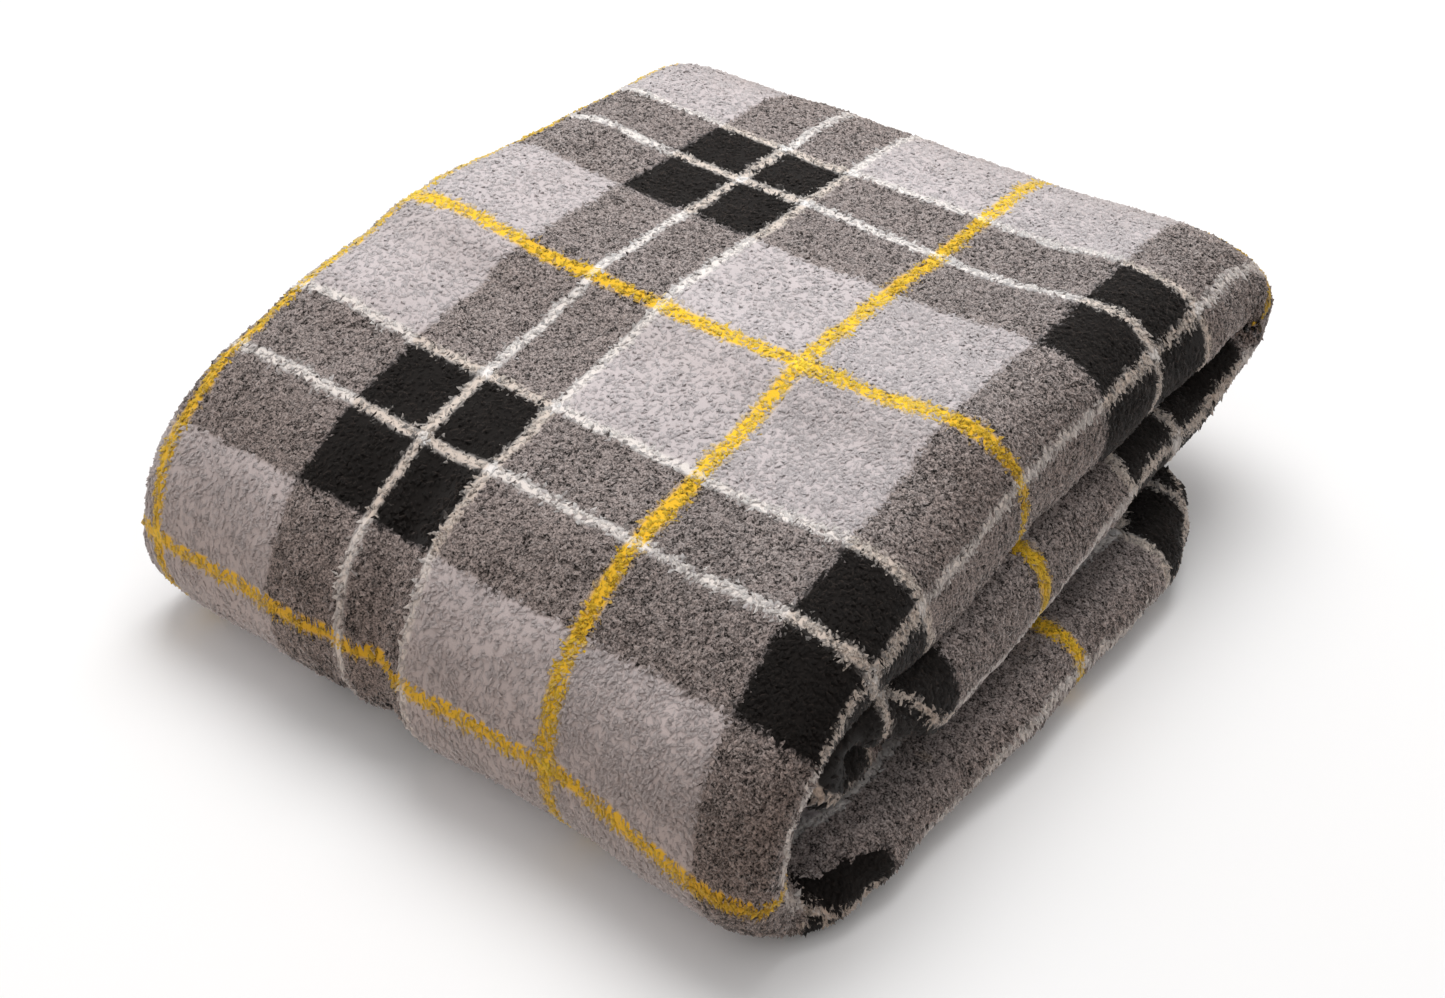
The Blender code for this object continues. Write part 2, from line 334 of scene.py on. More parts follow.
        r, c = np.asarray(i, float) * rows, np.asarray(j, float) * columns
        place = sample(t["place"], r, c)
        along_v = sample(t["place"], r + 0.8, c) - sample(t["place"], r - 0.8, c)
        along_c = sample(t["place"], r, c + 1.2) - sample(t["place"], r, c - 1.2)
        out = np.cross(along_c, along_v)
        out /= np.maximum(np.linalg.norm(out, axis=-1), 1e-9)[..., None]
        s = sample(t["across"], r, c)
        v = np.interp(r, np.arange(rows + 1), t["v"])
        cloth = np.stack([s, self.weft_length(v, s)], -1)
        # soft unevenness, read along the whole strip so that neighbouring runs still meet;
        # none where the cloth lies on the ground
        depth = 0.0016 * swell(cloth[..., 0], v, 0.055, 3) + 0.0010 * swell(cloth[..., 0], v, 0.024, 4)
        depth += self.creases(run, cloth[..., 0], cloth[..., 1])
        ground = np.clip((place[..., 2] - 0.004) / 0.012, 0, 1)
        place = place + out * (depth * ground)[..., None]
        corner = ease((s - 0.10) / 0.06) * np.exp(-(((v - self.ends["wrap"][0] - 0.062) / 0.035) ** 2))
        place[..., 2] -= CORNER_SAG * corner * np.clip((place[..., 2] - 0.003) / 0.01, 0, 1)
        return place, out, cloth

    @staticmethod
    def creases(run, s, t):
        """Two soft upright creases left of the middle on the front."""
        if run not in ("wrap", "top"):
            return 0 * s
        front = ease((t - 0.115) / 0.07)
        valley = -0.0075 * np.exp(-(((s + 0.118) / 0.013) ** 2))
        valley += -0.004 * np.exp(-(((s + 0.152) / 0.010) ** 2))
        return front * (valley + 0.003 * np.exp(-(((s + 0.080) / 0.022) ** 2)))


# ---------------------------------------------------------------- finishes
WANDER = 0.006  # how far a yarn drifts from side to side
YARNS = {
    "light": (0.52, 0.475, 0.48, 1),
    "dark": (0.0095, 0.0078, 0.0070, 1),
    "yellow": (1.0, 0.66, 0.045, 1),
    "white": (0.80, 0.775, 0.76, 1),
}
OVER = {"yellow": 0.85, "white": 0.8}  # how far a line's yarn covers the yarn that it crosses
LINE_LEAD = 0.36  # how far that tips the chance of a tuft being the line's
CROSSED = 1.35  # how quickly unlike yarns turn to heather
HEATHER = (0.78, 0.71, 0.645, 1)
# A darker, browner tint for the faces at the front, the back and the right. It was set and
# stands in partly for a softer light than this one: the cloth itself has no cause for it.
# Painted shade: this tint makes faces that turn forwards, backwards or to the right darker and browner, as
# shade would.
PAINTED_SHADE_TINT = (0.68, 0.59, 0.53, 1)
PILE_DEPTH_OF_LIGHT = 0.004  # how far light spreads inside a tuft
LINE_HALF, WHITE_HALF, BLUR = 0.0165, 0.0108, 0.0045
SETT = {  # shares of a repeat: (from, yarn)
    "warp": [(0, "yellow"), (LINE_HALF, "light"), (0.319, "dark"), (0.496 - WHITE_HALF, "white"),
             (0.496 + WHITE_HALF, "dark"), (0.668 - WHITE_HALF, "white"), (0.668 + WHITE_HALF, "light"),
             (1 - LINE_HALF, "yellow")],
    "weft": [(0, "yellow"), (LINE_HALF, "light"), (0.325 - WHITE_HALF, "white"), (0.325 + WHITE_HALF, "dark"),
             (0.505 - WHITE_HALF, "white"), (0.505 + WHITE_HALF, "dark"), (0.693, "light"),
             (1 - LINE_HALF, "yellow")],
}


class Nodes:
    """Short words for building a material's nodes."""

    def __init__(self, tree):
        self.tree = tree

    def new(self, kind, inputs=(), **settings):
        node = self.tree.nodes.new(kind)
        for key, value in settings.items():
            setattr(node, key, value)
        for key, value in dict(inputs).items():
            if isinstance(value, bpy.types.NodeSocket):
                self.tree.links.new(value, node.inputs[key])
            else:
                node.inputs[key].default_value = value
        return node

    def math(self, operation, a, b=0.0, c=0.0, clamp=False):
        return self.new("ShaderNodeMath", {0: a, 1: b, 2: c}, operation=operation, use_clamp=clamp).outputs[0]

    def mix(self, share, a, b, blend="MIX"):
        node = self.new("ShaderNodeMix", data_type="RGBA", blend_type=blend)
        for socket, value in ((node.inputs[0], share), (node.inputs[6], a), (node.inputs[7], b)):
            if isinstance(value, bpy.types.NodeSocket):
                self.tree.links.new(value, socket)
            else:
                socket.default_value = value
        return node.outputs[2]

    def ramp(self, share, stops, blur=0.0):
        """A colour for each band, with a soft change of blur at each border."""
        node = self.new("ShaderNodeValToRGB", {"Fac": share})
        ramp = node.color_ramp
        marks = [(0.0, stops[0][1])]
        for (_, before), (at, after) in zip(stops, stops[1:]):
            marks += [(at - blur, before), (at + blur, after)]
        marks.append((1.0, stops[-1][1]))
        ramp.elements[0].position, ramp.elements[0].color = marks[0]
        ramp.elements[1].position, ramp.elements[1].color = marks[-1]
        for at, colour in marks[1:-1]:
            ramp.elements.new(at).color = colour
        return node.outputs["Color"]


def tartan(n, s, t, pick, grain):
    """The yarn colour at cloth lengths s and t. pick, from 0 to 1, chooses the warp's yarn or the weft's."""
    colours, lines = [], []
    for sett, length in ((SETT["warp"], s), (SETT["weft"], t)):
        share = n.math("FRACT", n.math("ADD", n.math("DIVIDE", length, REPEAT), 20.0))
        colours.append(n.ramp(share, [(at, YARNS[yarn]) for at, yarn in sett], BLUR))
        lines.append(n.ramp(share, [(at, (OVER.get(yarn, 0.0),) * 3 + (1,)) for at, yarn in sett], BLUR))
    # where dark and light yarns cross, the heather between them is warmer and deeper
    unlike = n.mix(1.0, colours[0], colours[1], "DIFFERENCE")
    crossed = n.new("ShaderNodeSeparateColor", {0: unlike}).outputs[0]
    lead = n.math("SUBTRACT", lines[0], lines[1])
    chance = n.math("MULTIPLY_ADD", lead, LINE_LEAD, 0.5)
    warp = n.math("MULTIPLY_ADD", n.math("SUBTRACT", chance, pick), grain, 0.5, clamp=True)
    mingled = n.mix(warp, colours[1], colours[0])
    heather = n.mix(1.0, mingled, HEATHER, "MULTIPLY")
    return n.mix(n.math("MULTIPLY", crossed, CROSSED, clamp=True), mingled, heather)


def make_plush(name, tuft):
    material = bpy.data.materials.new(name)
    material.use_nodes = True
    tree = material.node_tree
    tree.nodes.clear()
    n = Nodes(tree)
    cloth = n.new("ShaderNodeAttribute", attribute_name="cloth")
    split = n.new("ShaderNodeSeparateXYZ", {0: cloth.outputs["Vector"]})
    s, t, pick = split.outputs
    place = n.new("ShaderNodeTexCoord").outputs["Object"]
    # the yarns wander a little, so no line in the cloth is ruled
    drift = n.new("ShaderNodeTexNoise", {"Vector": place, "Scale": 38.0, "Detail": 2.0})
    wander = n.new("ShaderNodeSeparateXYZ", {0: drift.outputs["Color"]})
    s = n.math("ADD", s, n.math("MULTIPLY_ADD", wander.outputs[0], WANDER, -WANDER / 2))
    t = n.math("ADD", t, n.math("MULTIPLY_ADD", wander.outputs[1], WANDER, -WANDER / 2))
    fibre = n.new("ShaderNodeTexNoise", {"Vector": place, "Scale": 900.0, "Detail": 3.0, "Roughness": 0.65})
    cloud = n.new("ShaderNodeTexNoise", {"Vector": place, "Scale": 28.0, "Detail": 3.0})
    if tuft:
        rise = n.new("ShaderNodeAttribute", attribute_name="rise").outputs["Fac"]
        mixed = n.math("MULTIPLY_ADD", n.math("SUBTRACT", fibre.outputs["Fac"], 0.5), 2.4, 0.25)
        mixed = n.math("MULTIPLY_ADD", pick, 0.5, mixed)
        colour = tartan(n, s, t, mixed, 1.4)
        # painted shade and light: each tuft is darker at its root and lighter at its tip, as shade among the
        # tufts and light through them would make it; the fibre and cloud noise multiplied in after are the
        # yarn's own tone
        tone_and_painted_light = n.math("MULTIPLY_ADD", rise, 0.14, 0.90)
        tone_and_painted_light = n.math("MULTIPLY", tone_and_painted_light, n.math("MULTIPLY_ADD", fibre.outputs["Fac"], 0.30, 0.85))
    else:
        colour = tartan(n, s, t, fibre.outputs["Fac"], 3.0)
        # painted light: the base cloth is made brighter than its own yarn, to lighten the shade it lies in
        # between the tufts; the fibre noise in it is the yarn's own tone
        tone_and_painted_light = n.math("MULTIPLY_ADD", fibre.outputs["Fac"], 0.2, 1.08)
    tone_and_painted_light = n.math("MULTIPLY", tone_and_painted_light, n.math("MULTIPLY_ADD", cloud.outputs["Fac"], 0.26, 0.87))
    grey = n.new("ShaderNodeCombineColor", {0: tone_and_painted_light, 1: tone_and_painted_light, 2: tone_and_painted_light}).outputs[0]
    colour = n.mix(1.0, colour, grey, "MULTIPLY")
    # painted shade: faces that turn forwards, backwards or to the right get a darker, browner tint
    painted_shade = n.new("ShaderNodeAttribute", attribute_name="painted_shade").outputs["Fac"]
    colour = n.mix(painted_shade, colour, n.mix(1.0, colour, PAINTED_SHADE_TINT, "MULTIPLY"))
    bsdf = n.new("ShaderNodeBsdfPrincipled", {
        "Base Color": colour, "Roughness": 0.88, "Specular IOR Level": 0.12,
        "Sheen Weight": 0.11, "Sheen Roughness": 0.5,
        "Subsurface Weight": 0.4 if tuft else 0.0, "Subsurface Scale": PILE_DEPTH_OF_LIGHT,
        "Subsurface Radius": (1.0, 0.9, 0.85)})
    bump = n.new("ShaderNodeBump", {"Strength": 0.35, "Distance": 0.0006, "Height": fibre.outputs["Fac"]})
    tree.links.new(bump.outputs[0], bsdf.inputs["Normal"])
    out = n.new("ShaderNodeOutputMaterial")
    tree.links.new(bsdf.outputs[0], out.inputs["Surface"])
    return material


def make_plain(name, colour, roughness, speckle_scale=0.0):
    material = bpy.data.materials.new(name)
    material.use_nodes = True
    tree = material.node_tree
    tree.nodes.clear()
    n = Nodes(tree)
    bsdf = n.new("ShaderNodeBsdfPrincipled", {"Roughness": roughness, "Base Color": colour})
    if speckle_scale:
        place = n.new("ShaderNodeTexCoord").outputs["Object"]
        noise = n.new("ShaderNodeTexNoise", {"Vector": place, "Scale": speckle_scale, "Detail": 3.0})
        dim = tuple(c * 0.6 for c in colour[:3]) + (1,)
        mixed = n.mix(noise.outputs["Fac"], dim, colour)
        tree.links.new(mixed, bsdf.inputs["Base Color"])
        bump = n.new("ShaderNodeBump", {"Strength": 0.5, "Distance": 0.0003, "Height": noise.outputs["Fac"]})
        tree.links.new(bump.outputs[0], bsdf.inputs["Normal"])
    out = n.new("ShaderNodeOutputMaterial")
    tree.links.new(bsdf.outputs[0], out.inputs["Surface"])
    return material


# ---------------------------------------------------------------- making pieces
def new_piece(name, bm, material):
    mesh = bpy.data.meshes.new(name)
    bm.to_mesh(mesh)
    bm.free()
    piece = bpy.data.objects.new(name, mesh)
    bpy.context.scene.collection.objects.link(piece)
    mesh.materials.append(material)
    for polygon in mesh.polygons:
        polygon.use_smooth = True
    return piece


def write_vectors(mesh, name, values):
    layer = mesh.attributes.new(name, "FLOAT_VECTOR", "POINT")
    layer.data.foreach_set("vector", np.ascontiguousarray(values, np.float32).ravel())


def write_numbers(mesh, name, values):
    layer = mesh.attributes.new(name, "FLOAT", "POINT")
    layer.data.foreach_set("value", np.ascontiguousarray(values, np.float32))


def painted_shade_share(out):
    """How much of the painted shade tint a place has: by how far it faces forwards or backwards, or to the
    right.

    The mix that uses it stops at 1.
    """
    return np.clip(0.95 * np.abs(out[:, 1]) + 0.65 * np.clip(out[:, 0], 0, 1), 0, 1.15)


def make_skin(name, strip, run, material):
    """The base cloth of one run of the strip."""
    long, wide = strip.size(run)
    rows, columns = max(6, int(long / GRID)), int(wide / GRID)
    bm = bmesh.new()
    bmesh.ops.create_grid(bm, x_segments=columns, y_segments=rows, size=0.5)
    shares = np.array([v.co for v in bm.verts]) + 0.5
    place, out, cloth = strip.read(run, shares[:, 1], shares[:, 0])
    for vert, where in zip(bm.verts, place):
        vert.co = where
    skin = new_piece(name, bm, material)
    write_vectors(skin.data, "cloth", np.column_stack([cloth, np.full(len(cloth), 0.5)]))
    write_numbers(skin.data, "painted_shade", painted_shade_share(out))
    return skin


def tuft_shape():
    """One tuft, one unit high: three-sided, fuller above its root and pointed at its tip."""
    bm = bmesh.new()
    bmesh.ops.create_circle(bm, segments=3, radius=0.5)
    ring = bm.edges[:]
    for height, width in ((0.60, 1.2), (1.0, 0.16)):
        made = bmesh.ops.extrude_edge_only(bm, edges=ring)["geom"]
        ring = [g for g in made if isinstance(g, bmesh.types.BMEdge)]
        for vert in {v for e in ring for v in e.verts}:
            flat = Vector((vert.co.x, vert.co.y, 0)).normalized()
            vert.co = Vector((flat.x * 0.5 * width, flat.y * 0.5 * width, height))
    tip = list({v for e in ring for v in e.verts})
    bmesh.ops.pointmerge(bm, verts=tip, merge_co=Vector((0, 0, 1)))
    bmesh.ops.recalc_face_normals(bm, faces=bm.faces[:])
    if sum(f.normal.dot(f.calc_center_median() - Vector((0, 0, 0.4))) for f in bm.faces) < 0:
        bmesh.ops.reverse_faces(bm, faces=bm.faces[:])
    bmesh.ops.triangulate(bm, faces=bm.faces[:])
    bm.verts.ensure_lookup_table()
    verts = np.array([v.co for v in bm.verts])
    faces = np.array([[v.index for v in f.verts] for f in bm.faces])
    bm.free()
    return verts, faces


TUFT = tuft_shape()


def plant(name, root, out, lean, length, width, turn, cloth, pick, material):
    """One mesh of tufts, each a copy of the tuft shape set at its root, leaning and bent over."""
    verts, faces = TUFT
    count = len(root)
    axis = out + lean
    axis /= np.linalg.norm(axis, axis=1)[:, None]
    side = np.cross(axis, np.array([0.31, 0.22, 0.92]) + 0.001)
    side /= np.linalg.norm(side, axis=1)[:, None]
    other = np.cross(axis, side)
    a = side * np.cos(turn)[:, None] + other * np.sin(turn)[:, None]
    b = -side * np.sin(turn)[:, None] + other * np.cos(turn)[:, None]
    rise = verts[:, 2]
    droop = lean * (length * DROOP)[:, None] - out * (length * DIP)[:, None]
    co = (root[:, None]
          + a[:, None] * verts[:, 0][None, :, None] * width[:, None, None]
          + b[:, None] * (verts[:, 1] * 0.75)[None, :, None] * width[:, None, None]
          + axis[:, None] * rise[None, :, None] * length[:, None, None]
          + droop[:, None] * (rise**2)[None, :, None])
    co[..., 2] = np.maximum(co[..., 2], LOWEST)
    mesh = bpy.data.meshes.new(name)
    corners = (faces[None] + (np.arange(count) * len(verts))[:, None, None]).reshape(-1, 3)
    mesh.vertices.add(count * len(verts))
    mesh.vertices.foreach_set("co", co.astype(np.float32).ravel())
    mesh.loops.add(corners.size)
    mesh.loops.foreach_set("vertex_index", corners.astype(np.int32).ravel())
    mesh.polygons.add(len(corners))
    mesh.polygons.foreach_set("loop_start", np.arange(0, corners.size, 3, dtype=np.int32))
    mesh.polygons.foreach_set("use_smooth", np.ones(len(corners), bool))
    mesh.update(calc_edges=True)
    write_vectors(mesh, "cloth", np.repeat(np.column_stack([cloth, pick]), len(verts), axis=0))
    write_numbers(mesh, "rise", np.tile(rise, count))
    write_numbers(mesh, "painted_shade", np.repeat(painted_shade_share(out), len(verts)))
    # a flat map with a square for each tuft, so that colour can be laid out for it
    side_count = int(math.ceil(math.sqrt(count)))
    square = np.column_stack([np.arange(count) % side_count, np.arange(count) // side_count])
    flattened = [verts[:, 0] * (1 - 0.6 * rise), (rise - 0.5) * 1.6 + 0.25 * verts[:, 1]]
    spread = 0.5 + 0.42 * np.column_stack(flattened)
    flat = (square[:, None] + spread[None]).reshape(-1, 2) / side_count
    mapped = mesh.uv_layers.new(name="OFBake")
    mapped.uv.foreach_set("vector", flat[corners.ravel()].astype(np.float32).ravel())
    # each tuft is lit mostly as the cloth under it is, which is what makes a pile look soft
    radial = a[:, None] * verts[None, :, :1] + b[:, None] * verts[None, :, 1:2]
    facing = out[:, None] + radial * 1.1 + axis[:, None] * (0.3 * rise)[None, :, None]
    facing = facing.reshape(-1, 3)
    facing /= np.linalg.norm(facing, axis=1)[:, None]
    mesh.normals_split_custom_set_from_vertices(facing.astype(np.float32))
    piece = bpy.data.objects.new(name, mesh)
    bpy.context.scene.collection.objects.link(piece)
    mesh.materials.append(material)
    return piece


def lay_of(out, place, cloth, rng):
    """Which way the pile leans: down the slopes, combed a little to one side, and every tuft its own way."""
    down = np.array([0, 0, -1.0]) - out * (-out[:, 2])[:, None]
    steep = np.clip(1 - np.abs(out[:, 2]), 0, 1)[:, None]
    comb = np.cross(out, np.array([0.35, 1.0, 0.1]))
    tangle = rng.normal(0, 1, out.shape)
    tangle -= out * (tangle * out).sum(1)[:, None]
    curl_a = swell(cloth[:, 0], cloth[:, 1], 0.011, 8)
    curl_b = swell(cloth[:, 0] + 3, cloth[:, 1] + 5, 0.011, 9)
    e1 = np.cross(out, np.array([0, 1.0, 0.05]))
    e2 = np.cross(out, e1)
    clump = e1 * curl_a[:, None] + e2 * curl_b[:, None]
    return down * (0.25 + 0.9 * steep) * (steep > 0.02) + 0.05 * comb + 0.45 * tangle + 0.55 * clump


def make_pile(name, strip, run, material, seed):
    """The pile of one run, as one piece or as many as its size needs."""
    rng = np.random.default_rng(seed)
    long, wide = strip.size(run)
    gap = TUFT_GAP[run] * 1.0
    rows, columns = max(2, int(long / gap)), int(wide / gap)
    i, j = np.meshgrid(np.arange(rows), np.arange(columns), indexing="ij")
    stagger = 0.5 * (i % 2)
    i = (i + 0.5 + rng.uniform(-SCATTER, SCATTER, i.shape)) / rows
    j = (j + stagger + rng.uniform(-SCATTER, SCATTER, j.shape)) / columns
    i, j = i.ravel(), j.ravel()
    if run in ("second", "third"):  # their folded edges show more, and have over twice as many tufts
        more = rng.uniform(0, 1, (2, int(1.3 * i.size)))
        more = more[:, (more[1] > 0.76) | (more[1] < 0.22)]
        i, j = np.concatenate([i, more[0]]), np.concatenate([j, more[1]])
    keep = (j > BARE_EDGE) & (j < 1 - BARE_EDGE)
    i, j = i[keep], j[keep]
    place, out, cloth = strip.read(run, i, j)
    keep = ~((out[:, 2] < -0.75) & (place[:, 2] < PRESSED_FLAT))
    place, out, cloth = place[keep], out[keep], cloth[keep]
    count = len(place)
    lean = lay_of(out, place, cloth, rng)
    clump = 0.5 + 0.5 * swell(cloth[:, 0], cloth[:, 1], 0.009, 12)
    length = PILE * (0.80 + 0.25 * clump + rng.uniform(-0.12, 0.12, count))
    width = TUFT_WIDTH * gap / TUFT_GAP["top"] * rng.uniform(0.8, 1.25, count)
    turn = rng.uniform(0, 2 * math.pi, count)
    pick = rng.uniform(0, 1, count)
    root = place - out * ROOT_DEPTH
    pieces = []
    parts = int(math.ceil(count / MOST_TUFTS))
    for k, chosen in enumerate(np.array_split(np.arange(count), parts)):
        label = name if parts == 1 else f"{name}_{k + 1}"
        pieces.append(plant(label, root[chosen], out[chosen], lean[chosen], length[chosen], width[chosen],
                            turn[chosen], cloth[chosen], pick[chosen], material))
    return pieces


# ---------------------------------------------------------------- hems at the lower half's back end
HEM_MIDDLE, HEM_WIDE, STITCH_LINE = 0.159, 0.020, -0.0052
STITCH_STEP, STITCH_LONG, THREAD = 0.0054, 0.0036, 0.0009
HEM_GAP, HEM_PILE, HEM_TUFT_WIDTH, HEM_ROOT_DEPTH = 0.0025, 0.0030, 0.0024, 0.0005
CUT_Y = 0.160  # where the lower strips' cloth ends
HEM_THICK = {"bottom": 0.0105, "third": 0.0088}
# (x, z) of the middle of the hem where it follows the letter fold: the right flap, the face, the left flap
HEM_PATHS = {
    "bottom": [(-0.195, 0.0222), (0.0, 0.0222), (0.198, 0.0222), (0.2105, 0.0195), (0.2135, 0.0148),
               (0.209, 0.0095), (0.190, 0.0072), (0.0, 0.0072), (-0.190, 0.0072), (-0.208, 0.0105),
               (-0.2155, 0.0190), (-0.214, 0.0280), (-0.203, 0.0350), (-0.180, 0.0367), (0.0, 0.0367),
               (0.180, 0.0367), (0.203, 0.0352)],
    "third": [(-0.168, 0.0535), (-0.08, 0.0583), (0.0, 0.0585), (0.09, 0.0575), (0.130, 0.0530),
              (0.155, 0.0445), (0.168, 0.0392), (0.1755, 0.0400), (0.1735, 0.0465), (0.160, 0.0565),
              (0.140, 0.0640), (0.110, 0.0680), (0.0, 0.0688), (-0.10, 0.0685), (-0.145, 0.0640),
              (-0.170, 0.0550), (-0.188, 0.0460), (-0.1935, 0.0405), (-0.186, 0.0372), (-0.168, 0.0420),
              (-0.12, 0.0478), (0.0, 0.0482), (0.10, 0.0470), (0.145, 0.0430)],
}


class Hem:
    """A rolled hem along one lower strip's cut end."""

    def __init__(self, strip, run):
        self.strip, self.run = strip, run
        self.thick = HEM_THICK[run]
        self.line, self.arc, _ = smooth_line(HEM_PATHS[run], 12)
        self.long = self.arc[-1]
        face = self.arc[len(self.arc) // 2]
        middle = along(self.line, self.arc, np.array([face]))[0]
        slip = SIDE_SLIP[run][0 if run == "bottom" else 1]
        self.across_from = face + middle[0] - ANCHOR_X + slip
        self.end_v = strip.ends[run][0 if run == "bottom" else 1]
        self.back = -1 if run == "bottom" else 1

    def read(self, i, j):
        """Its surface at share i of its length and share j of the way round it."""
        at = i * self.long
        place = along(self.line, self.arc, at)
        ahead = along(self.line, self.arc, at + 0.002) - along(self.line, self.arc, at - 0.002)
        ahead /= np.maximum(np.linalg.norm(ahead, axis=-1), 1e-9)[..., None]
        up = np.stack([-ahead[..., 1], ahead[..., 0]], -1)
        turn = 2 * math.pi * j
        round_y = np.sign(np.cos(turn)) * np.abs(np.cos(turn)) ** 0.6
        round_up = np.sign(np.sin(turn)) * np.abs(np.sin(turn)) ** 0.8
        bite = 1 - 0.24 * np.exp(-(((round_y * HEM_WIDE / 2 - STITCH_LINE) / 0.0018) ** 2))
        to_end = np.clip(np.minimum(at, self.long - at) / (0.5 * self.thick), 0, 1)
        full = np.sqrt(np.maximum(1 - (1 - to_end) ** 2, 0))
        y = HEM_MIDDLE + 0.5 * HEM_WIDE * round_y * (0.8 + 0.2 * full) * (full > 0)
        rise = 0.5 * self.thick * round_up * bite * full
        where = np.stack([place[..., 0] + up[..., 0] * rise, y, place[..., 1] + up[..., 1] * rise], -1)
        out = np.stack([up[..., 0] * round_up, round_y * 0.8, up[..., 1] * round_up], -1)
        out /= np.maximum(np.linalg.norm(out, axis=-1), 1e-9)[..., None]
        s = self.across_from - at
        t = self.strip.weft_length(self.end_v + self.back * (y - CUT_Y), s)
        return where, out, np.stack([s, t], -1)


def make_hem(name, hem, material):
    """The rolled cloth of the hem."""
    bm = bmesh.new()
    bmesh.ops.create_grid(bm, x_segments=int(hem.long / 0.005), y_segments=22, size=0.5)
    shares = np.array([v.co for v in bm.verts]) + 0.5
    place, out, cloth = hem.read(shares[:, 0], shares[:, 1])
    for vert, where in zip(bm.verts, place):
        vert.co = where
    bm.verts.ensure_lookup_table()
    keep = bm.verts.layers.int.new("made_as")
    for k, vert in enumerate(bm.verts):
        vert[keep] = k
    bmesh.ops.remove_doubles(bm, verts=bm.verts[:], dist=0.00005)
    bmesh.ops.recalc_face_normals(bm, faces=bm.faces[:])
    bm.verts.ensure_lookup_table()
    kept = [vert[keep] for vert in bm.verts]
    bm.verts.layers.int.remove(keep)
    piece = new_piece(name, bm, material)
    write_vectors(piece.data, "cloth", np.column_stack([cloth[kept], np.full(len(kept), 0.5)]))
    write_numbers(piece.data, "painted_shade", painted_shade_share(out[kept]))
    return piece


def make_hem_pile(name, hem, material, seed):
    """Short tufts all round the hem, but for its inner side and where it lies on the ground."""
    rng = np.random.default_rng(seed)
    gap = HEM_GAP * 1.0
    count = int(hem.long / gap * (2 * HEM_WIDE + 2 * hem.thick) / gap)
    i, j = rng.uniform(0.004, 0.996, count), rng.uniform(0, 1, count)
    place, out, cloth = hem.read(i, j)
    keep = (out[:, 1] > -0.5) & ~((out[:, 2] < -0.6) & (place[:, 2] < 0.008))
    place, out, cloth = place[keep], out[keep], cloth[keep]
    count = len(place)
    lean = lay_of(out, place, cloth, rng)
    length = HEM_PILE * rng.uniform(0.8, 1.2, count)
    width = HEM_TUFT_WIDTH * rng.uniform(0.8, 1.2, count)
    turn = rng.uniform(0, 6.28, count)
    pick = rng.uniform(0, 1, count)
    return plant(name, place - out * HEM_ROOT_DEPTH, out, lean, length, width, turn, cloth, pick, material)


def make_stitches(name, hem, material):
    """One row of stitches along each side of the hem, sunk a little into it."""
    bm = bmesh.new()
    for k in range(int((hem.long - 0.02) / STITCH_STEP)):
        at = 0.01 + k * STITCH_STEP
        place = along(hem.line, hem.arc, np.array([at - 0.001, at, at + 0.001]))
        ahead = Vector((place[2, 0] - place[0, 0], 0, place[2, 1] - place[0, 1])).normalized()
        up = Vector((-ahead.z, 0, ahead.x))
        for side in (1, -1):
            where = Vector((place[1, 0], HEM_MIDDLE + STITCH_LINE, place[1, 1]))
            where += up * side * (0.5 * hem.thick * 0.76 + 0.0004)
            turn = Matrix((ahead, up.cross(ahead), up)).transposed().to_4x4()
            size = Matrix.Diagonal((STITCH_LONG / 2, THREAD / 2, THREAD / 2, 1))
            shape = Matrix.Translation(where) @ turn @ size
            bmesh.ops.create_icosphere(bm, subdivisions=1, radius=1, matrix=shape)
    return new_piece(name, bm, material)


# ---------------------------------------------------------------- light and floor
def make_floor():
    bm = bmesh.new()
    bmesh.ops.create_grid(bm, x_segments=2, y_segments=2, size=8)
    floor = new_piece("floor", bm, make_plain("pale_floor", (0.93, 0.93, 0.93, 1), 0.9))
    floor.location.z = -FLOOR_DROP


def make_light():
    world = bpy.data.worlds.new("studio")
    bpy.context.scene.world = world
    bpy.context.scene.view_settings.view_transform = "Standard"
    world.use_nodes = True
    n = Nodes(world.node_tree)
    sky = n.new("ShaderNodeTexCoord").outputs["Generated"]
    height = n.new("ShaderNodeSeparateXYZ", {0: sky}).outputs["Z"]
    shades = [(0.0, (0.90, 0.89, 0.88, 1)), (0.11, (0.42, 0.39, 0.36, 1)), (0.25, (0.55, 0.52, 0.50, 1)),
              (0.45, (0.80, 0.78, 0.77, 1)), (0.65, (1.0, 0.985, 0.985, 1))]
    background = world.node_tree.nodes["Background"]
    world.node_tree.links.new(n.ramp(height, shades, 0.03), background.inputs["Color"])
    background.inputs["Strength"].default_value = 0.66
    for name, place, size, power in (
        ("overhead", (-0.45, 0.65, 2.2), 1.5, 38),
        ("fill", (-1.6, -1.3, 1.3), 1.6, 3),
    ):
        data = bpy.data.lights.new(name, "AREA")
        data.energy, data.size = power, size
        light = bpy.data.objects.new(name, data)
        bpy.context.scene.collection.objects.link(light)
        light.location = place
        light.rotation_mode = "QUATERNION"
        light.rotation_quaternion = (Vector((0, 0, 0.1)) - Vector(place)).to_track_quat("-Z", "Y")


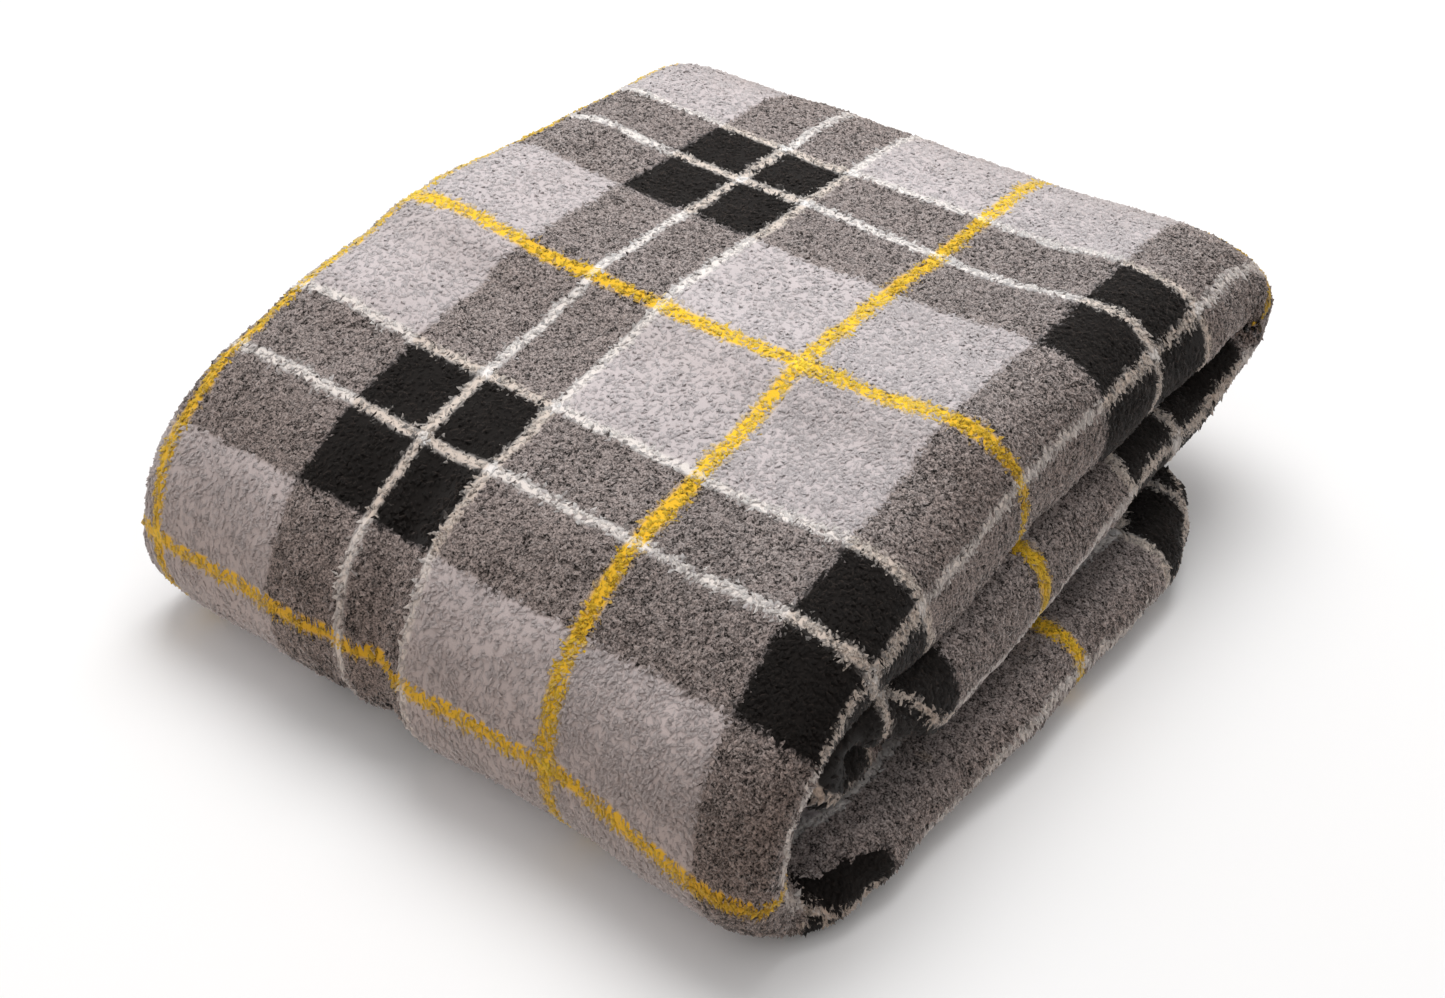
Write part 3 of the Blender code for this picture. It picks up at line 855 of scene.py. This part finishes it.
# ---------------------------------------------------------------- the blanket
make_camera()
make_floor()
make_light()
strip = Strip()
tuft_finish = make_plush("plush_pile", True)
base_finish = make_plush("plush_base_cloth", False)


def nodes_of(start):
    return [n for n in nodes if n.startswith(start) and not n.endswith("end_hem")]


# run: (body or None where it bends, CAD nodes it stands for, what it rests on)
PARTS = {
    "bottom": ("lower_half", "bottom_", ["floor"]),
    "third": ("lower_half", "third_", ["bottom_strip_cloth"]),
    "second": ("upper_half", "second_", ["third_strip_cloth"]),
    "top": ("upper_half", "top_", ["second_strip_cloth"]),
    "back": ("upper_half", "back_fold_", ["second_strip_cloth"]),
    "wrap": (None, "front_fold_outer_", ["front_core_cloth"]),
    "core": (None, "front_fold_core_", ["third_strip_cloth"]),
}
NAMES = {"bottom": "bottom_strip", "third": "third_strip", "second": "second_strip", "top": "top_strip",
         "back": "back_fold", "wrap": "front_fold", "core": "front_core"}

made = {}
for number, (run, (body, start, rests)) in enumerate(PARTS.items()):
    name = NAMES[run]
    skin = make_skin(f"{name}_cloth", strip, run, base_finish)
    pile = make_pile(f"{name}_pile", strip, run, tuft_finish, 100 + number)
    for piece in [skin, *pile]:
        if body:
            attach(piece, body)
        else:
            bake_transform(piece)
    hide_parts(*nodes_of(start))
    wide = strip.size(run)[1]
    long = sum(f.area for f in skin.data.polygons) / wide
    made[run] = (skin, pile, wide, long)

thread_finish = make_plain("hem_thread", (0.50, 0.47, 0.45, 1), 0.7, 1400.0)
for number, run in enumerate(("bottom", "third")):
    name, hem = NAMES[run], Hem(strip, run)
    roll = make_hem(f"{name}_end_hem", hem, base_finish)
    nap = make_hem_pile(f"{name}_end_hem_pile", hem, tuft_finish, 200 + number)
    stitches = make_stitches(f"{name}_end_hem_stitches", hem, thread_finish)
    for piece, slot in ((roll, "hem"), (nap, "hem"), (stitches, "thread")):
        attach(piece, "lower_half")
    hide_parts(*[n for n in nodes if n.startswith(f"{run}_") and n.endswith("end_hem")])
    made[run][1].extend([roll, nap, stitches])

for run, (skin, pile, wide, long) in made.items():
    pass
